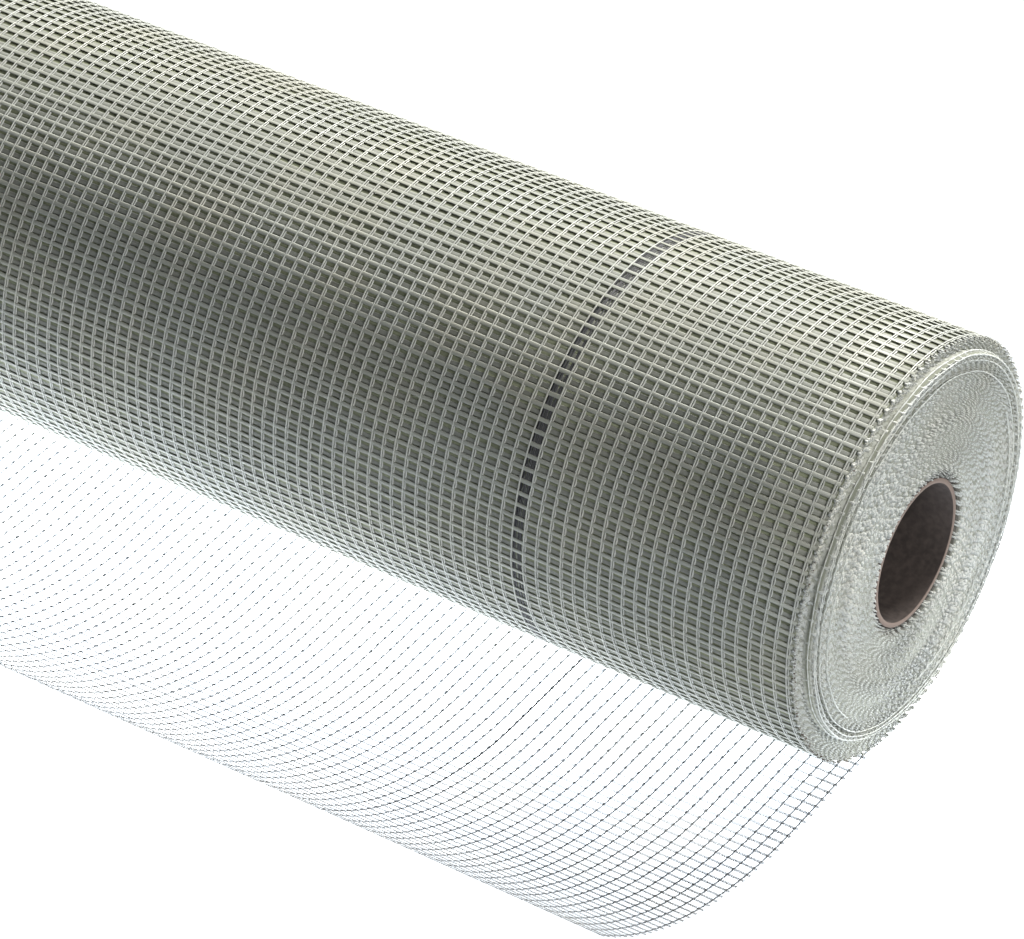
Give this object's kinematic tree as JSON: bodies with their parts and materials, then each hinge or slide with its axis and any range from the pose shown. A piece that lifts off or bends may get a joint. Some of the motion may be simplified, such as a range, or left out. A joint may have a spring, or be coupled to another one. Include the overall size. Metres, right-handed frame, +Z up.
{
  "type": "roll of fiberglass mesh",
  "caption": "Roll of open glass fibre reinforcing mesh on a cardboard core, lying on its side with a loose end that runs out from under it and curls up.",
  "frame": {"origin": "point on the floor straight under the middle of the roll's axis", "axes": "+X along the roll's axis toward the end whose inner turns stand proud, +Z up, the loose end runs out toward -Y"},
  "size_m": [1.0042, 0.274, 0.156],
  "materials": {
    "glass_mesh": "coated glass yarn, satin",
    "core_board": "matt grey-brown board"
  },
  "bodies": {
    "root": {"mesh_roll": "glass_mesh", "core_tube": "core_board"}
  },
  "joints": []
}
